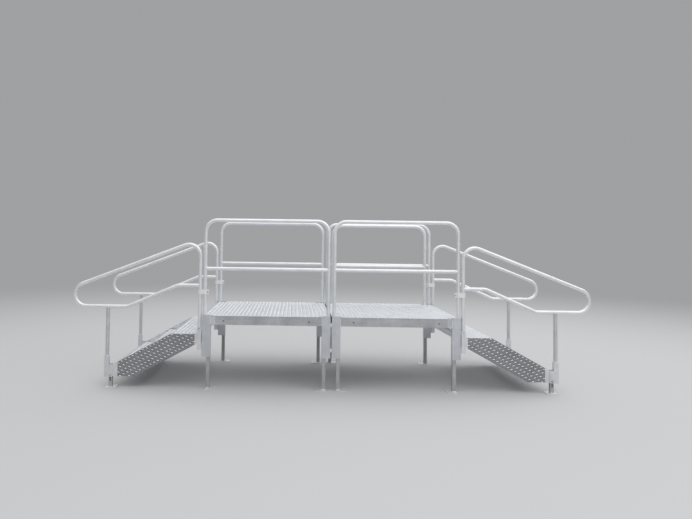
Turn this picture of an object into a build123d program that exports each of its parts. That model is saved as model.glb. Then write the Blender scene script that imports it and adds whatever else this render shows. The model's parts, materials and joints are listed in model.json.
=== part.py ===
# Step-over bridge: two square deck modules on telescopic legs, guard hoops on
# both long sides, and a three-tread stair with bent-tube handrails at each end.
# Units are millimetres, +Z is up, the bridge runs along X.
# The origin is on the ground at the centre of the bridge.
import os
from math import atan, pi, tan

from build123d import *

os.makedirs("parts", exist_ok=True)

# Round tube of the guards and handrails
TUBE_D = 38.0
TUBE_WALL = 3.0
BEND_R = 120.0

# Square tube of the telescopic legs, and their foot plates
LEG = 38.0
LEG_WALL = 3.0
LEG_OVERLAP = 230.0
FOOT_T = 8.0
FOOT_X = 106.0
FOOT_Y = 120.0
FOOT_HOLE_D = 14.0
FOOT_HOLE_OUT = 45.0
FOOT_HOLE_PITCH = 76.0
FOOT_SHIFT = 30.0
STAIR_FOOT_SHIFT = 10.0

# Outer corner radius of square tubes and housings; their inner corners have half of it
CORNER_R = 3.0

# Two-chamber corner housings
WALL = 3.0
POST_PLAY = 1.5
LEG_PLAY = 0.5
POST_CELL = TUBE_D + 2 * POST_PLAY
LEG_CELL = LEG + 2 * LEG_PLAY
CELL_Y = max(TUBE_D, LEG) + 2 * LEG_PLAY
HOUSING_X = POST_CELL + LEG_CELL + 3 * WALL
HOUSING_Y = CELL_Y + 2 * WALL
POST_INSET = WALL + POST_CELL / 2
LEG_INSET = HOUSING_X - WALL - LEG_CELL / 2
HOUSING_Z = 423.0
HOUSING_LIFT = 8.0
COLLAR_T = 6.0
COLLAR_GAP = 0.3

# Deck modules
POST_PITCH = 1270.0
MODULE_GAP = 13.0
DECK_Z = 740.0
DECK_T = 4.0
FASCIA_Z = 86.0
FASCIA_DEPTH = 40.0
FASCIA_SETBACK = 2.0
FASCIA_T = 3.0
BEARERS = 2
BEARER_Y = 40.0
BEARER_Z = 50.0

MODULE_X = POST_PITCH + 2 * POST_INSET
MODULE_Y = POST_PITCH + HOUSING_Y
MODULE_CX = (MODULE_X + MODULE_GAP) / 2
DECK_END = MODULE_GAP / 2 + MODULE_X
RAIL_Y = POST_PITCH / 2
HOUSING_TOP = DECK_Z + HOUSING_LIFT
HOUSING_BOTTOM = HOUSING_TOP - HOUSING_Z

# Guard hoops
GUARD_TOP = 1000.0
MID_RAIL = 481.0
POST_DEPTH = 300.0
GUARD_Z = DECK_Z + GUARD_TOP - TUBE_D / 2
MID_Z = DECK_Z + MID_RAIL

# Second hoop, inboard of the far guard of the right module
INNER_HOOP_SHIFT = 65.0
INNER_HOOP_DROP = 15.0
BASE_RIM = 4.0
BASE_Z = 30.0
BASE_GAP = 2.5
BASE_D = TUBE_D + 2 * BASE_RIM
INNER_HOOP_HALF = POST_PITCH / 2 - INNER_HOOP_SHIFT
INNER_HOOP_Y = RAIL_Y - HOUSING_Y / 2 - BASE_GAP - BASE_D / 2

# Stairs
HOOK_GAP = 5.0
HOOK_Y = 30.0
HOOK_TOP_Z = 32.0
HOOK_LOW_Z = 66.0
SOCKET_PLAY = 0.5
SOCKET_WALL = 2.5
SOCKET_X = TUBE_D + 2 * (SOCKET_PLAY + SOCKET_WALL)
SOCKET_BOTTOM = 393.0
SOCKET_TOP = 622.0
TOP_TREAD_X = 268.0
TREAD_GOING = 294.0
TREAD_Z = (552.0, 392.0, 232.0)
TREAD_T = 4.0
TREAD_LIP = 36.0
NOSING_BACK = 10.0
STRINGER_T = 5.0
STRINGER_FACE = 13.0
STRINGER_LIP = 30.0
STRINGER_BOTTOM = 112.0
STRINGER_FLAT = 228.0
LOW_HOUSING_BOTTOM = 106.0
LOW_SOCKET_TOP = 318.0
END_FLANGE_X = 46.0
UPPER_FLANGE_X = 22.0
END_FLANGE_T = 3.0
STAIR_LEG_OVERLAP = 110.0

# Height adjustment of the stair legs: a bolt through the housing and a slot in the leg
STAIR_BOLT_D = 11.0
STAIR_BOLT_Z = 125.0
LEG_SLOT_W = 12.0
LEG_SLOT_BOTTOM = 62.0
LEG_SLOT_TOP = 168.0

STAIR_POST_X = DECK_END + HOOK_GAP + SOCKET_X / 2
STAIR_X0 = STAIR_POST_X + SOCKET_X / 2
STAIR_X1 = STAIR_X0 + TOP_TREAD_X
STAIR_X3 = STAIR_X1 + 2 * TREAD_GOING
STAIR_SLOPE = (TREAD_Z[0] - TREAD_Z[2]) / (STAIR_X3 - STAIR_X1)
LOW_POST_X = STAIR_X3 + HOUSING_X - POST_INSET
LOW_LEG_X = STAIR_X3 + HOUSING_X - LEG_INSET
STRINGER_Y = RAIL_Y + STRINGER_FACE

# Handrails of the stairs
RAIL_TOP_Z = 1522.0
RAIL_SLOPE = 0.388
RAIL_END_X = 1288.0
RAIL_LOW_Z = 821.0
RAIL_KNEE_X = 743.0
RAIL_SPLICE_X = 943.0
RAIL_HIGH_X = 229.0
RAIL_HIGH_Z = 1046.0
LOOP_STRAIGHT = 4.0
RAIL_POST_BOTTOM = 430.0
BALUSTER_BOTTOM = 150.0

# Clips between handrail posts and guard posts
CLIP_Z = 981.0
CLIP_H = 44.0
CLIP_RIM = 4.0
CLIP_LUG_X = 16.0
CLIP_LUG_Y = 24.0

# Links between the two deck modules
LINK_Z = (405.0, 660.0)
LINK_H = 36.0
LINK_INSET = 4.5


def box(x0, x1, y0, y1, z0, z1):
    """Block between six planes."""
    return Pos((x0 + x1) / 2, (y0 + y1) / 2, (z0 + z1) / 2) * Box(x1 - x0, y1 - y0, z1 - z0)


def plate_xz(points, y0, y1):
    """Plate with its outline in the XZ plane, from y0 to y1."""
    outline = make_face(Polyline(*[(x, 0, z) for x, z in points], close=True))
    return Pos(0, y0, 0) * extrude(outline, amount=y1 - y0, dir=(0, 1, 0))


def upright(cx, cy, size_x, size_y, radius, z0, z1):
    """Upright bar of rectangular section with rounded corners."""
    return Pos(cx, cy, z0) * extrude(RectangleRounded(size_x, size_y, radius), amount=z1 - z0)


def square_tube(cx, cy, size_x, size_y, wall, z0, z1):
    """Upright square tube, open at both ends."""
    outer = upright(cx, cy, size_x, size_y, CORNER_R, z0, z1)
    return outer - upright(cx, cy, size_x - 2 * wall, size_y - 2 * wall, CORNER_R / 2, z0 - 1, z1 + 1)


def tube_along_x(x0, x1, cy, size_y, z0, z1):
    """Rectangular tube that runs along X."""
    outer = box(x0, x1, cy - size_y / 2, cy + size_y / 2, z0, z1)
    return outer - box(x0 - 1, x1 + 1, cy - size_y / 2 + FASCIA_T, cy + size_y / 2 - FASCIA_T,
                       z0 + FASCIA_T, z1 - FASCIA_T)


def tube_along_y(cx, y0, y1, size_x, z0, z1):
    """Rectangular tube that runs along Y."""
    outer = box(cx - size_x / 2, cx + size_x / 2, y0, y1, z0, z1)
    return outer - box(cx - size_x / 2 + FASCIA_T, cx + size_x / 2 - FASCIA_T, y0 - 1, y1 + 1,
                       z0 + FASCIA_T, z1 - FASCIA_T)


def rod(path_points, radius, y, bends=BEND_R):
    """Round bar swept along a bent line in the plane at y; bends is one radius or one a corner."""
    points = [(x, y, z) for x, z in path_points]
    path = FilletPolyline(*points, radius=bends) if len(points) > 2 else Line(*points)
    start = Plane(origin=path @ 0, z_dir=path % 0)
    return sweep(start * Circle(radius), path=path)


def tubes(paths, y, sleeves=(), bends=BEND_R):
    """Welded tube frame: the first line is the main tube, later ones are coped to it."""
    outer = rod(paths[0], TUBE_D / 2, y, bends)
    for line in paths[1:]:
        outer += rod(line, TUBE_D / 2, y)
    for line, radius in sleeves:
        outer += rod(line, radius, y)
    outer -= rod(paths[0], TUBE_D / 2 - TUBE_WALL, y, bends)
    for line in paths[1:]:
        outer -= rod(line, TUBE_D / 2 - TUBE_WALL, y)
    return outer


def housing(corner_x, inward, y, post_top, leg_top, bottom):
    """Two-chamber extrusion; corner_x is its outer face, inward is the sign towards the leg."""
    post_x = corner_x + inward * POST_INSET
    leg_x = corner_x + inward * LEG_INSET
    shell = upright(corner_x + inward * HOUSING_X / 2, y, HOUSING_X, HOUSING_Y, CORNER_R, bottom, leg_top)
    shell += upright(post_x, y, POST_CELL + 2 * WALL, HOUSING_Y, CORNER_R, bottom, post_top)
    shell -= upright(post_x, y, POST_CELL, CELL_Y, CORNER_R / 2, bottom - 1, post_top + 1)
    return shell - upright(leg_x, y, LEG_CELL, CELL_Y, CORNER_R / 2, bottom - 1, post_top + 1)


def leg(x, y, inward, top, shift):
    """Telescopic leg with its foot plate and two anchor holes."""
    plate_x = x + inward * shift
    tube = square_tube(x, y, LEG, LEG, LEG_WALL, FOOT_T, top)
    foot = box(plate_x - FOOT_X / 2, plate_x + FOOT_X / 2, y - FOOT_Y / 2, y + FOOT_Y / 2, 0, FOOT_T)
    for side in (-1, 1):
        at = Pos(x + inward * FOOT_HOLE_OUT, y + side * FOOT_HOLE_PITCH / 2, FOOT_T / 2)
        hole = at * Cylinder(FOOT_HOLE_D / 2, FOOT_T + 2)
        foot -= hole
    return tube + foot


def save(shape, name):
    """Write one piece."""
    export_step(shape, f"parts/{name}.step")


# Deck modules
bearers = []
for side, name in ((-1, "left"), (1, "right")):
    cx = side * MODULE_CX
    x0 = cx - MODULE_X / 2
    x1 = cx + MODULE_X / 2
    y1 = MODULE_Y / 2
    beam_top = DECK_Z - DECK_T
    beam_bottom = beam_top - FASCIA_Z

    # Tread-plate deck, notched round the corner housings
    deck = box(x0, x1, -y1, y1, beam_top, DECK_Z)
    for sx in (-1, 1):
        for sy in (-1, 1):
            px = cx + sx * (MODULE_X - HOUSING_X) / 2
            py = sy * RAIL_Y
            deck -= Pos(px, py, DECK_Z) * Box(HOUSING_X, HOUSING_Y, 4 * DECK_T)
    save(deck, f"{name}_deck_plate")

    # Fascia beams on the four sides, each a rectangular tube between two housings
    face_y = y1 - FASCIA_SETBACK
    face_x = MODULE_X / 2 - FASCIA_SETBACK
    beams = []
    for sy in (-1, 1):
        mid = sy * (face_y - FASCIA_DEPTH / 2)
        beams.append(tube_along_x(x0 + HOUSING_X, x1 - HOUSING_X, mid, FASCIA_DEPTH, beam_bottom, beam_top))
    for sx in (-1, 1):
        mid = cx + sx * (face_x - FASCIA_DEPTH / 2)
        end = RAIL_Y - HOUSING_Y / 2
        beams.append(tube_along_y(mid, -end, end, FASCIA_DEPTH, beam_bottom, beam_top))
    save(Compound(children=beams), f"{name}_deck_frame")
    for i in range(BEARERS):
        by = (i - (BEARERS - 1) / 2) * MODULE_Y / (BEARERS + 1)
        reach = face_x - FASCIA_DEPTH
        bearers.append(tube_along_x(cx - reach, cx + reach, by, BEARER_Y, beam_top - BEARER_Z, beam_top))

    # Corner housings and telescopic legs
    for sx in (-1, 1):
        where_x = "outer" if sx == side else "inner"
        for sy, where_y in ((-1, "near"), (1, "far")):
            corner = cx + sx * MODULE_X / 2
            shell = housing(corner, -sx, sy * RAIL_Y, HOUSING_TOP - COLLAR_T, HOUSING_TOP - COLLAR_T,
                            HOUSING_BOTTOM)
            cap_x = corner - sx * HOUSING_X / 2
            cap = upright(cap_x, sy * RAIL_Y, HOUSING_X, HOUSING_Y, CORNER_R, HOUSING_TOP - COLLAR_T,
                          HOUSING_TOP)
            bore = Cylinder(TUBE_D / 2 + COLLAR_GAP, 4 * COLLAR_T)
            cap -= Pos(corner - sx * POST_INSET, sy * RAIL_Y, HOUSING_TOP) * bore
            save(shell + cap, f"{name}_{where_y}_{where_x}_housing")
            leg_x = corner - sx * LEG_INSET
            top = HOUSING_BOTTOM + LEG_OVERLAP
            save(leg(leg_x, sy * RAIL_Y, -sx, top, FOOT_SHIFT), f"{name}_{where_y}_{where_x}_leg")

    # Guard hoops
    post0 = x0 + POST_INSET
    post1 = x1 - POST_INSET
    bottom = DECK_Z - POST_DEPTH
    for sy, where_y in ((-1, "near"), (1, "far")):
        hoop = [(post0, bottom), (post0, GUARD_Z), (post1, GUARD_Z), (post1, bottom)]
        save(tubes([hoop, [(post0, MID_Z), (post1, MID_Z)]], sy * RAIL_Y), f"{name}_{where_y}_guard")

save(Compound(children=bearers), "deck_bearers")

# Second hoop on the deck of the right module
hoop_y = INNER_HOOP_Y
hx0 = MODULE_CX - INNER_HOOP_HALF
hx1 = MODULE_CX + INNER_HOOP_HALF
hoop_top = GUARD_Z - INNER_HOOP_DROP
hoop_mid = MID_Z - INNER_HOOP_DROP
bases = [([(hx, DECK_Z), (hx, DECK_Z + BASE_Z)], BASE_D / 2) for hx in (hx0, hx1)]
second = tubes([[(hx0, DECK_Z), (hx0, hoop_top), (hx1, hoop_top), (hx1, DECK_Z)],
                [(hx0, hoop_mid), (hx1, hoop_mid)]], hoop_y, bases)
save(second, "right_inner_hoop")

# Stair stringer of the right stair, near side
top_z = TREAD_Z[0] - TREAD_T
lip_drop = TREAD_T * (1 + STAIR_SLOPE ** 2) ** 0.5
knee_x = STAIR_X3 - STRINGER_FLAT
upper_z = STRINGER_BOTTOM + (knee_x - STAIR_X0) * STAIR_SLOPE
plate = plate_xz([(STAIR_X0, top_z), (STAIR_X1, top_z), (STAIR_X3, TREAD_Z[2] - lip_drop),
                  (STAIR_X3, STRINGER_BOTTOM), (knee_x, STRINGER_BOTTOM), (STAIR_X0, upper_z)],
                 -STRINGER_Y, -STRINGER_Y + STRINGER_T)
lip = plate_xz([(STAIR_X1, TREAD_Z[0]), (STAIR_X3, TREAD_Z[2]),
                (STAIR_X3, TREAD_Z[2] - lip_drop), (STAIR_X1, TREAD_Z[0] - lip_drop)],
               -STRINGER_Y, -STRINGER_Y + STRINGER_LIP)
end_flange = box(STAIR_X3 - END_FLANGE_X, STAIR_X3, -STRINGER_Y - END_FLANGE_T, -STRINGER_Y,
                 STRINGER_BOTTOM, TREAD_Z[2] - lip_drop)
upper_flange = plate_xz([(STAIR_X0, top_z), (STAIR_X0 + UPPER_FLANGE_X, top_z),
                         (STAIR_X0 + UPPER_FLANGE_X, upper_z - UPPER_FLANGE_X * STAIR_SLOPE),
                         (STAIR_X0, upper_z)], -STRINGER_Y - END_FLANGE_T, -STRINGER_Y)
upper_socket = square_tube(STAIR_POST_X, -RAIL_Y, SOCKET_X, HOUSING_Y, SOCKET_WALL, SOCKET_BOTTOM, SOCKET_TOP)
hooks = []
for hook_z0, hook_z1 in ((SOCKET_TOP - HOOK_TOP_Z, SOCKET_TOP), (SOCKET_BOTTOM, SOCKET_BOTTOM + HOOK_LOW_Z)):
    hooks.append(box(DECK_END, STAIR_POST_X - SOCKET_X / 2, -RAIL_Y - HOOK_Y / 2, -RAIL_Y + HOOK_Y / 2,
                     hook_z0, hook_z1))
low_housing = housing(LOW_POST_X + POST_INSET, -1, -RAIL_Y, LOW_SOCKET_TOP, TREAD_Z[2], LOW_HOUSING_BOTTOM)
bolt_hole = Pos(LOW_LEG_X, -RAIL_Y, STAIR_BOLT_Z) * Rot(90, 0, 0) * Cylinder(STAIR_BOLT_D / 2, 2 * HOUSING_Y)
low_housing -= bolt_hole
stringer = plate + lip + end_flange + upper_flange + upper_socket + hooks[0] + hooks[1] + low_housing

# Treads: folded pans between the stringers, the top one laps over them
def tread(x0, x1, half_y, lap_y, z):
    """Tread plate with a turned-down lip front and back."""
    pan = box(x0, x1, -half_y, half_y, z - TREAD_LIP, z) - box(
        x0 + TREAD_T, x1 - TREAD_T, -half_y - 1, half_y + 1, z - TREAD_LIP - 1, z - TREAD_T)
    if lap_y > half_y:
        pan += box(x0, x1, -lap_y, lap_y, z - TREAD_T, z)
    return pan

inner_half = STRINGER_Y - STRINGER_T
treads = [tread(STAIR_X0, STAIR_X1, inner_half, STRINGER_Y, TREAD_Z[0])]
for i in (1, 2):
    nose = STAIR_X1 + i * TREAD_GOING - NOSING_BACK
    treads.append(tread(nose - TREAD_GOING + 2 * NOSING_BACK, nose, inner_half, 0, TREAD_Z[i]))

# Handrail of the right stair: one bent tube with a baluster at its low end. The two bends at its
# end run into each other as one loop, so their radius follows from the height between the rails
sx = STAIR_POST_X
end_top = RAIL_TOP_Z - RAIL_SLOPE * RAIL_END_X
half_turn = (pi / 2 - atan(RAIL_SLOPE)) / 2
end_bend = (end_top - RAIL_LOW_Z - LOOP_STRAIGHT) / (1 + tan(half_turn))
main_line = [(sx, RAIL_POST_BOTTOM), (sx, RAIL_TOP_Z), (sx + RAIL_END_X, end_top),
             (sx + RAIL_END_X, RAIL_LOW_Z), (sx + RAIL_SPLICE_X, RAIL_LOW_Z)]
lower_line = [(sx + RAIL_SPLICE_X, RAIL_LOW_Z), (sx + RAIL_KNEE_X, RAIL_LOW_Z),
              (sx + RAIL_HIGH_X, RAIL_HIGH_Z), (sx, RAIL_HIGH_Z)]
handrail = tubes([main_line, lower_line], -RAIL_Y, bends=(BEND_R, end_bend, end_bend))
baluster = Pos(LOW_POST_X, -RAIL_Y, (RAIL_LOW_Z + BALUSTER_BOTTOM) / 2) * (
    Cylinder(TUBE_D / 2, RAIL_LOW_Z - BALUSTER_BOTTOM)
    - Cylinder(TUBE_D / 2 - TUBE_WALL, RAIL_LOW_Z - BALUSTER_BOTTOM))
baluster -= rod([(LOW_POST_X - TUBE_D, RAIL_LOW_Z), (LOW_POST_X + TUBE_D, RAIL_LOW_Z)], TUBE_D / 2, -RAIL_Y)

# Low-end leg of the right stair, slotted through its front and back walls
stair_leg = leg(LOW_LEG_X, -RAIL_Y, -1, LOW_HOUSING_BOTTOM + STAIR_LEG_OVERLAP, STAIR_FOOT_SHIFT)
slot = SlotOverall(LEG_SLOT_TOP - LEG_SLOT_BOTTOM, LEG_SLOT_W, rotation=90)
slot_at = Pos(LOW_LEG_X, -RAIL_Y, (LEG_SLOT_TOP + LEG_SLOT_BOTTOM) / 2) * Rot(90, 0, 0)
stair_leg -= slot_at * extrude(slot, amount=LEG, both=True)

def flipped(shape, flip_x, flip_y):
    """The same piece on the left or far side."""
    shape = mirror(shape, about=Plane.YZ) if flip_x else shape
    return mirror(shape, about=Plane.XZ) if flip_y else shape


balusters = []
for flip_x, name in ((True, "left"), (False, "right")):
    legs = []
    for flip_y, where_y in ((False, "near"), (True, "far")):
        save(flipped(stringer, flip_x, flip_y), f"{name}_{where_y}_stringer")
        save(flipped(handrail, flip_x, flip_y), f"{name}_{where_y}_handrail")
        legs.append(flipped(stair_leg, flip_x, flip_y))
        balusters.append(flipped(baluster, flip_x, flip_y))
    save(Compound(children=legs), f"{name}_stair_legs")
    for i, shape in enumerate(treads):
        save(flipped(shape, flip_x, False), f"{name}_tread_{i + 1}")
save(Compound(children=balusters), "handrail_balusters")

# Clips that tie each handrail post to its guard post, with a lug on the deck's side
guard_x = DECK_END - POST_INSET
clips = []
for side in (-1, 1):
    for sy in (-1, 1):
        rim = TUBE_D / 2 + CLIP_RIM
        span = STAIR_POST_X - guard_x
        band = Pos(side * (guard_x + STAIR_POST_X) / 2, sy * RAIL_Y, CLIP_Z) * (
            extrude(SlotCenterToCenter(span, 2 * rim), amount=CLIP_H / 2, both=True))
        band += Pos(side * (guard_x - (rim + CLIP_LUG_X) / 2), sy * RAIL_Y, CLIP_Z) * (
            Box(rim + CLIP_LUG_X, CLIP_LUG_Y, CLIP_H))
        for px in (guard_x, STAIR_POST_X):
            band -= Pos(side * px, sy * RAIL_Y, CLIP_Z) * Cylinder(TUBE_D / 2 + COLLAR_GAP, CLIP_H + 2)
        clips.append(band)
save(Compound(children=clips), "rail_clips")

# Spacer blocks between the two modules
links = []
for sy in (-1, 1):
    for lz in LINK_Z:
        links.append(Pos(0, sy * RAIL_Y, lz) * Box(MODULE_GAP, HOUSING_Y - 2 * LINK_INSET, LINK_H))
save(Compound(children=links), "module_links")
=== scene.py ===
# %% [markdown]
# # Step-over bridge
#
# This lesson dresses an aluminium step-over bridge: two square deck modules on telescopic
# legs, hoops of round tube on both long sides, and a three-tread stair with bent handrails
# at each end. The sized solids come ready made as the frame. What is left is what makes the
# metal look real: the rolled chequer pattern, weld beads, bolts and the finish of each alloy
# part. All sizes are in metres, X runs along the bridge, Z is up, and the ground is Z = 0.

# %% Load the frame
import json
from math import atan2, cos, hypot, pi, radians, sin

import bpy
from mathutils import Matrix, Vector

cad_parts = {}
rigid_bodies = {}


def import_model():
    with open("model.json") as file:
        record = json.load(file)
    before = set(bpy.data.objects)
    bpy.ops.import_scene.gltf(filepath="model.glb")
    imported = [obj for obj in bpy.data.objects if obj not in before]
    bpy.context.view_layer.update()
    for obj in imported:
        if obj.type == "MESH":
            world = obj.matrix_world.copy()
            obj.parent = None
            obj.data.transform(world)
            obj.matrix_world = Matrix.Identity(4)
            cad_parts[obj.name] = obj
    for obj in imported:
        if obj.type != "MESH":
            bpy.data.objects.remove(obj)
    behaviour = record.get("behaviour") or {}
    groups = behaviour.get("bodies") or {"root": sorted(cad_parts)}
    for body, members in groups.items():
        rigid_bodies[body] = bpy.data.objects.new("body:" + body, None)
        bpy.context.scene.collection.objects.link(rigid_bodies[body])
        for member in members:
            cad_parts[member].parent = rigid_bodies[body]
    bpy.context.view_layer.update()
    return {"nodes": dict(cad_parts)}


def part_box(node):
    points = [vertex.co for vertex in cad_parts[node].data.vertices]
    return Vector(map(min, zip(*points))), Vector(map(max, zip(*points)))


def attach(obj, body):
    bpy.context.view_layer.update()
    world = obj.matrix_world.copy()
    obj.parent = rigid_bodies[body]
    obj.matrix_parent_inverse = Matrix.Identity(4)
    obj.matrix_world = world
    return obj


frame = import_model()
nodes = frame["nodes"]

# %% [markdown]
# ## Places that the pieces share
#
# Every piece below sits on a solid of the frame, so its place is read from that solid's box
# and only the sizes of the small parts are typed. Reading the boxes once, under plain names,
# keeps the later cells short.

# %% Read the places from the frame
SIDES = ("left", "right")
ROWS = ("near", "far")
SIGNS = (-1.0, 1.0)
TUBE_R = 0.019
DECK_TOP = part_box("left_deck_plate")[1].z
rail_low, rail_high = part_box("right_near_guard")
RAIL_Y = -(rail_low.y + rail_high.y) / 2
housing_low, housing_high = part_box("right_near_outer_housing")
HOUSING_W = housing_high.x - housing_low.x
HOUSING_FACE = -housing_low.y
HOUSING_BACK = 2 * RAIL_Y - HOUSING_FACE
frame_low, frame_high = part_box("right_deck_frame")
FASCIA_FACE = -frame_low.y
hoop_low, hoop_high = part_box("right_inner_hoop")
HOOP_Y = (hoop_low.y + hoop_high.y) / 2
HOOP_BASE_R = (hoop_high.y - hoop_low.y) / 2
HOOP_POSTS = (hoop_low.x + HOOP_BASE_R, hoop_high.x - HOOP_BASE_R)
print("deck top", round(DECK_TOP, 4), "rail line", round(RAIL_Y, 4), "housing", round(HOUSING_W, 4))

# %% [markdown]
# The stair sides are plates with a knee at each end. Their welds, lugs and dull outer faces
# all follow the same few lines, which come from the treads and from the plate's own sizes.

# %% Read the lines of the stair sides
STRINGER_T = 0.005
STRINGER_BOTTOM = 0.112
STRINGER_FLAT = 0.228
FLANGE_LOW_X = 0.046
FLANGE_HIGH_X = 0.022
LIP_T = 0.006
tread_1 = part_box("right_tread_1")
tread_3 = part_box("right_tread_3")
PLATE_X0 = tread_1[0].x
SLOPE_X0 = tread_1[1].x
PLATE_X1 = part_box("right_near_stringer")[1].x - HOUSING_W
PLATE_TOP = tread_1[1].z
PLATE_END = tread_3[1].z
SLOPE = (PLATE_TOP - PLATE_END) / (PLATE_X1 - SLOPE_X0)
STRINGER_FACE = tread_1[1].y
print("stair side from", round(PLATE_X0, 3), "to", round(PLATE_X1, 3), "slope", round(SLOPE, 3))

# %% [markdown]
# ## Camera
#
# The photograph was taken standing a little left of the middle, about six metres away, and
# was cropped afterwards, so its optical centre is off the middle of the frame. In Blender
# that is the camera's shift: the camera looks almost level and the frame slides over the view.

# %% Place the camera
PHOTO_W, PHOTO_H = 692, 519
FOCAL_PX = 568.0
CENTRE_X, CENTRE_Y = 290.15, 218.38
SENSOR_MM = 36.0
EYE = Vector((-0.392, -6.498, 1.553))
YAW, PITCH, ROLL = -0.0072, 0.0335, 0.0133


def on_axes(place, x_way, y_way, z_way):
    """Matrix that stands a shape at a place, on three axes of its own."""
    return Matrix.Translation(place) @ Matrix((x_way, y_way, z_way)).transposed().to_4x4()


forward = Vector((sin(YAW) * cos(PITCH), cos(YAW) * cos(PITCH), sin(PITCH)))
level_right = Vector((cos(YAW), -sin(YAW), 0.0))
level_up = level_right.cross(forward)
right = cos(ROLL) * level_right + sin(ROLL) * level_up
up = -sin(ROLL) * level_right + cos(ROLL) * level_up

scene = bpy.context.scene
lens = bpy.data.cameras.new("photo_camera")
lens.sensor_width = SENSOR_MM
lens.lens = FOCAL_PX / PHOTO_W * SENSOR_MM
lens.shift_x = (PHOTO_W / 2 - CENTRE_X) / PHOTO_W
lens.shift_y = (CENTRE_Y - PHOTO_H / 2) / PHOTO_W
camera = bpy.data.objects.new("photo_camera", lens)
scene.collection.objects.link(camera)
camera.matrix_world = on_axes(EYE, right, up, -forward)
scene.camera = camera
print("lens", round(lens.lens, 2), "shift", round(lens.shift_x, 4), round(lens.shift_y, 4))

# %% [markdown]
# ## A short way to write shader nodes
#
# A material is a net of nodes. Adding a node, typing its constants and drawing its links takes
# many lines that say little, so one helper does it: an input of the new node is either a
# constant or the output of an earlier node. Two more helpers make the sums and the mixes of
# colours.

# %% Define the node helpers
def empty_tree(owner):
    """Node tree of a material or world, with nothing in it."""
    owner.use_nodes = True
    owner.node_tree.nodes.clear()
    return owner.node_tree


def fill_in(tree, node, inputs):
    """Gives a node its inputs: each is a constant, or an output to link from."""
    for name, value in dict(inputs).items():
        if isinstance(value, bpy.types.NodeSocket):
            tree.links.new(value, node.inputs[name])
        else:
            node.inputs[name].default_value = value
    return node


def add_node(tree, kind, inputs=()):
    """New shader node with its inputs."""
    return fill_in(tree, tree.nodes.new("ShaderNode" + kind), inputs)


def math_of(tree, operation, *values):
    """Result of a Math node's operation."""
    node = tree.nodes.new("ShaderNodeMath")
    node.operation = operation
    return fill_in(tree, node, dict(enumerate(values))).outputs[0]


def mix_of(tree, share, colour, other, blend="MIX"):
    """Colour, mixed with another by a share."""
    node = tree.nodes.new("ShaderNodeMix")
    node.data_type = "RGBA"
    node.blend_type = blend
    return fill_in(tree, node, {"Factor": share, "A": colour, "B": other}).outputs["Result"]


print("node helpers ready")

# %% [markdown]
# ## Floor and backdrop
#
# Bare metal shows what surrounds it, so the studio matters more than the lamps. The backdrop is
# a calm grey for the camera and for reflections alike. Far out, the floor turns into the same
# grey, so no horizon line crosses behind the rails.

# %% Lay the floor
BACKDROP = (0.35, 0.355, 0.36, 1.0)
FLOOR_PAINT = (0.58, 0.58, 0.575, 1.0)
FLOOR_SIZE = 60.0
FLOOR_BACK = 8.0
FADE_FROM, FADE_TO = 4.0, 14.0

scene.view_settings.view_transform = "Standard"
bpy.ops.object.select_all(action="DESELECT")
bpy.ops.mesh.primitive_plane_add(size=FLOOR_SIZE, location=(0.0, FLOOR_BACK, 0.0))
floor = bpy.context.object
floor.name = "studio_floor"
bpy.ops.object.transform_apply(location=True, rotation=True, scale=True)

floor_material = bpy.data.materials.new("pale_floor")
tree = empty_tree(floor_material)
paint = add_node(tree, "BsdfPrincipled", {"Base Color": FLOOR_PAINT, "Roughness": 0.9})
glow = add_node(tree, "Emission", {"Color": BACKDROP})
reach = tree.nodes.new("ShaderNodeVectorMath")
reach.operation = "LENGTH"
fill_in(tree, reach, {0: add_node(tree, "TexCoord").outputs["Object"]})
distance = reach.outputs["Value"]
fade = add_node(tree, "MapRange", {"Value": distance, "From Min": FADE_FROM, "From Max": FADE_TO})
fade.interpolation_type = "SMOOTHSTEP"
share = fade.outputs["Result"]
blend = add_node(tree, "MixShader", {"Fac": share, 1: paint.outputs[0], 2: glow.outputs[0]})
add_node(tree, "OutputMaterial", {"Surface": blend.outputs[0]})
floor.data.materials.append(floor_material)
print("floor of", FLOOR_SIZE, "m, fading from", FADE_FROM, "to", FADE_TO, "m")

# %% [markdown]
# The world behind it has two faces. The camera and the reflections in the metal see the
# backdrop's grey, and all other light from there is that of a faint, slightly blue sky.

# %% Set the backdrop
SKY = (0.80, 0.84, 0.90, 1.0)
SKY_STRENGTH = 0.42

world = bpy.data.worlds.new("studio")
scene.world = world
tree = empty_tree(world)
seen = add_node(tree, "Background", {"Color": BACKDROP, "Strength": 1.0})
sky = add_node(tree, "Background", {"Color": SKY, "Strength": SKY_STRENGTH})
path = add_node(tree, "LightPath")
either = math_of(tree, "MAXIMUM", path.outputs["Is Camera Ray"], path.outputs["Is Glossy Ray"])
either = math_of(tree, "MAXIMUM", either, path.outputs["Is Transmission Ray"])
both = add_node(tree, "MixShader", {"Fac": either, 1: sky.outputs[0], 2: seen.outputs[0]})
add_node(tree, "OutputWorld", {"Surface": both.outputs[0]})
print("backdrop grey", BACKDROP[:3], "sky strength", SKY_STRENGTH)

# %% [markdown]
# ## Light
#
# A very wide soft panel overhead stands in for an overcast sky and gives the tubes their bright
# tops. A second one leans in from the right, because lugs that point one way must shine a
# little more than those that point the other way: that is what draws the fine rows on the
# decks. A weak one in front lifts the faces that look at the camera.

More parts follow.
